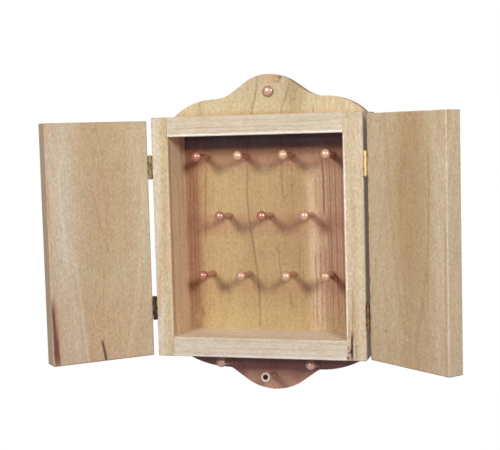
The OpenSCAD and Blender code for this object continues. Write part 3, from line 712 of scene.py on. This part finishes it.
def bore(tree, place, colour):
    """Paints the bore in the middle apron peg dark, as shade."""
    foot = Vector((0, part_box("back_panel")[0].y, BORED_PEG_Z))
    axis = Vector((0, -cos(BORED_PEG_TILT), sin(BORED_PEG_TILT)))
    from_foot = tree.node("VectorMath", {0: place, 1: foot}, operation="SUBTRACT").outputs[0]
    off = tree.node("VectorMath", {0: from_foot, 1: axis}, operation="CROSS_PRODUCT").outputs[0]
    inside = tree.step(tree.length(off), *BORE_RIM, 1.0, 0.0)
    return tree.mix(inside, colour, srgb(*BORE_SHADE))


def button_painted_shade(tree, place, colour):
    """Paints shade on the crest button towards its rim."""
    low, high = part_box("crest_button")
    middle = tree.node("VectorMath", {0: place, 1: (low + high) / 2}, operation="SUBTRACT").outputs[0]
    flat = tree.node("VectorMath", {0: middle, 1: (1, 0, 1)}, operation="MULTIPLY").outputs[0]
    return tree.mix(tree.step(tree.length(flat), *BUTTON_RIM, 0.0, 0.8), colour, srgb(*BUTTON_SHADE))


def pegs():
    reddish = turned_wood("reddish_turned_wood", (164, 96, 72), (100, 50, 36), (172, 102, 74))
    pale = turned_wood("pale_turned_wood", (170, 98, 74), (160, 98, 72), (210, 170, 136))
    pink = turned_wood("pink_turned_wood", (180, 128, 116), (170, 116, 102), (206, 156, 142))
    for name in frame["nodes"]:
        if "peg" in name or "knob" in name:
            finish = reddish if name in REDDISH_PIECES else pale
            dress(name, pink if "apron" in name else finish)
    dress(BORED_PEG, turned_wood("bored_peg", (190, 150, 132), (196, 164, 152), (224, 212, 206), bore))
    button = (200, 156, 124)
    dress("crest_button", turned_wood("button_turned_wood", button, button, button, button_painted_shade))


METAL_RELIEF = 0.03 * MM
# Noises in metal, as those in the boards
PATINA_CLOUDS = (260, 260, 4.0, 0.6)
SCRATCHES = (4000, 160, 2.0)
ZINC_CLOUDS = (900, 900, 3.0, 0.6)
# Fresh zinc plate and its dull patches
ZINC = (176, 178, 176)
DULL_ZINC = (128, 124, 112)


def worn_brass(name, clean, dark, patina):
    """Brass plate under a brown patina. patina is the share of the surface that it covers."""
    tree = material_tree(name)
    place = tree.node("TexCoord").outputs["Object"]
    cloud = tree.noise(place, *PATINA_CLOUDS)
    scratches = tree.noise(place, *SCRATCHES)
    threshold = 0.72 - 0.5 * patina
    cover = tree.step(cloud, threshold, threshold + 0.2)
    colour = tree.mix(cover, srgb(*clean), srgb(*dark))
    colour = tree.mix(tree.step(scratches, 0.55, 0.75, 0.0, 0.25), colour, srgb(*clean))
    roughness = tree.math("ADD", tree.math("MULTIPLY_ADD", cover, 0.2, 0.28), tree.swing(scratches, 0.06))
    metallic = tree.math("MULTIPLY_ADD", cover, -0.35, 1.0)
    relief = tree.math("ADD", scratches, cloud)
    bump = tree.node("Bump", {"Height": relief, "Distance": METAL_RELIEF, "Strength": 0.5})
    return tree.finish(Base_Color=colour, Metallic=metallic, Roughness=roughness, Normal=bump.outputs[0])


def hinges():
    """Each hinge has its own clean colour, patina and share of patina, partly painted light and shade:
    the upper right one is painted lit, the lower ones painted in shade.
    """
    # Painted light and shade as well as patina: the upper right hinge lit, the lower ones shaded
    patina_and_painted_light = {
        "left_upper": ((176, 152, 96), (110, 90, 56), 0.6),
        "left_lower": ((120, 88, 56), (66, 46, 34), 0.8),
        "right_upper": ((240, 218, 164), (186, 154, 96), 0.45),
        "right_lower": ((164, 130, 88), (98, 70, 56), 0.7),
    }
    for hinge, (clean, dark, patina) in patina_and_painted_light.items():
        material = worn_brass(hinge + "_brass", clean, dark, patina)
        for part in ("frame_leaf", "door_leaf", "hinge_pin"):
            dress(hinge + "_" + part, material)
    screws = worn_brass("screw_brass", (206, 172, 104), (96, 68, 40), 0.5)
    for name in ("frame_hinge_screws", "left_door_hinge_screws", "right_door_hinge_screws"):
        dress(name, screws)


def plated_steel():
    tree = material_tree("steel")
    place = tree.node("TexCoord").outputs["Object"]
    cloud = tree.noise(place, *ZINC_CLOUDS)
    colour = tree.mix(tree.step(cloud, 0.35, 0.7), srgb(*ZINC), srgb(*DULL_ZINC))
    roughness = tree.math("MULTIPLY_ADD", cloud, 0.25, 0.25)
    bump = tree.node("Bump", {"Height": cloud, "Distance": METAL_RELIEF, "Strength": 0.4})
    material = tree.finish(Base_Color=colour, Metallic=1.0, Roughness=roughness, Normal=bump.outputs[0])
    for name in ("side_nails", "back_screws"):
        dress(name, material)


# ---------------------------------------------------------------- camera, light and floor

# Measured from the part's origin: the photograph's viewpoint, its heading to the left of +Y, and its other
# angles
CAMERA_PLACE = (0.311785, -1.20655, 0.110271)
CAMERA_HEADING = radians(15.756)
CAMERA_DIP = radians(4.714)
CAMERA_ROLL = radians(-1.578)
PHOTO_WIDTH_PIXELS = 500
FOCAL_PIXELS = 1117.425
SENSOR_WIDTH = 36

LAMP_DISTANCE = 1.8
LAMP_SIZE = 0.38
WARM = (1.0, 0.98, 0.93)

WHITE = (1.0, 1.0, 1.0, 1.0)
# The fill light in front of the cabinet and behind it, and between which Y of its direction it changes
FRONT_FILL = (0.055, 0.02, 0.08, 1.0)
REAR_FILL = (0.16, 0.16, 0.18, 1.0)
FILL_TURN = (-0.75, 0.35)
# How much of the white studio shows in shiny surfaces that look to the front, and to the rear
FRONT_SHINE = 0.7
REAR_SHINE = 0.2


def camera():
    data = bpy.data.cameras.new("camera")
    data.sensor_width = SENSOR_WIDTH
    data.lens = FOCAL_PIXELS / PHOTO_WIDTH_PIXELS * SENSOR_WIDTH
    made = bpy.data.objects.new("camera", data)
    turn = (Matrix.Rotation(CAMERA_HEADING, 4, "Z") @ Matrix.Rotation(pi / 2 - CAMERA_DIP, 4, "X")
            @ Matrix.Rotation(CAMERA_ROLL, 4, "Z"))
    made.matrix_world = Matrix.Translation(CAMERA_PLACE) @ turn
    bpy.context.scene.collection.objects.link(made)
    bpy.context.scene.camera = made


def lamp(name, azimuth, elevation, share, colour=(1.0, 1.0, 1.0), size=LAMP_SIZE):
    """A square lamp that aims at the part's origin. share is how bright it lights a surface that faces it:
    at 1, a colour looks as bright as it is written."""
    data = bpy.data.lights.new(name, "AREA")
    data.size = size
    data.energy = share * pi ** 2 * LAMP_DISTANCE ** 2
    data.color = colour
    made = bpy.data.objects.new(name, data)
    a, e = radians(azimuth), radians(elevation)
    toward = Vector((sin(a) * cos(e), -cos(a) * cos(e), sin(e)))
    made.location = toward * LAMP_DISTANCE
    made.rotation_euler = toward.to_track_quat("Z", "Y").to_euler()
    bpy.context.scene.collection.objects.link(made)


def world():
    """Dim fill light, violet in front and greyer behind. The camera sees white, and shiny surfaces see part
    of it."""
    made = bpy.data.worlds.new("studio")
    bpy.context.scene.world = made
    tree = Tree(made)
    direction = tree.node("TexCoord").outputs["Generated"]
    behind = tree.step(tree.node("SeparateXYZ", {0: direction}).outputs[1], *FILL_TURN)
    fill_colour = tree.mix(behind, FRONT_FILL, REAR_FILL)
    rays = tree.node("LightPath").outputs
    seen = tree.math("MAXIMUM", rays["Is Camera Ray"], rays["Is Transmission Ray"])
    shine = tree.math("MULTIPLY_ADD", behind, REAR_SHINE - FRONT_SHINE, FRONT_SHINE)
    seen = tree.math("MAXIMUM", seen, tree.math("MULTIPLY", rays["Is Glossy Ray"], shine))
    colour = tree.mix(seen, fill_colour, WHITE)
    background = tree.node("Background", {"Color": colour, "Strength": 1.0})
    tree.node("OutputWorld", {"Surface": background.outputs[0]})


FLOOR_DROP = 1.25
FLOOR_RADIUS = 2.4
FLOOR_CORNERS = 96
FLOOR_COLOUR = (236, 236, 234)
# Where the floor fades out, in shares of its radius, and how much of it the camera sees as plain white
FLOOR_FADE = (0.3, 0.95)
FLOOR_GLOW = 0.6


def floor():
    """A plain pale floor, as far below as a wall cabinet hangs above one. It fades out at its rim."""
    angles = [2 * pi * i / FLOOR_CORNERS for i in range(FLOOR_CORNERS)]
    points = [(FLOOR_RADIUS * cos(a), FLOOR_RADIUS * sin(a), -FLOOR_DROP) for a in angles]
    mesh = bpy.data.meshes.new("floor")
    mesh.from_pydata(points, [], [range(len(points))])
    made = bpy.data.objects.new("floor", mesh)
    bpy.context.scene.collection.objects.link(made)
    tree = material_tree("floor")
    place = tree.node("TexCoord").outputs["Object"]
    split = tree.node("SeparateXYZ", {0: place}).outputs
    radius = tree.length(tree.node("CombineXYZ", {0: split[0], 1: split[1]}).outputs[0])
    rim = tree.step(radius, *(share * FLOOR_RADIUS for share in FLOOR_FADE))
    pale = tree.node("BsdfDiffuse", {"Color": srgb(*FLOOR_COLOUR)}).outputs[0]
    glow = tree.node("Emission", {"Color": WHITE, "Strength": 1.0}).outputs[0]
    seen = tree.math("MULTIPLY", tree.node("LightPath").outputs["Is Camera Ray"], FLOOR_GLOW)
    shown = tree.node("MixShader", {0: seen, 1: pale, 2: glow}).outputs[0]
    clear = tree.node("BsdfTransparent").outputs[0]
    surface = tree.node("MixShader", {0: rim, 1: shown, 2: clear}).outputs[0]
    tree.node("OutputMaterial", {"Surface": surface})
    made.data.materials.append(tree.owner)


back_panel()
sides()
rails()
doors()
pegs()
hinges()
plated_steel()
camera()
lamp("left_lamp", azimuth=-19, elevation=22, share=0.5, colour=WARM)
lamp("right_lamp", azimuth=34, elevation=20, share=0.5, colour=WARM)
lamp("rear_lamp", azimuth=205, elevation=40, share=0.6, size=0.9)
world()
floor()
bpy.context.scene.view_settings.view_transform = "Standard"
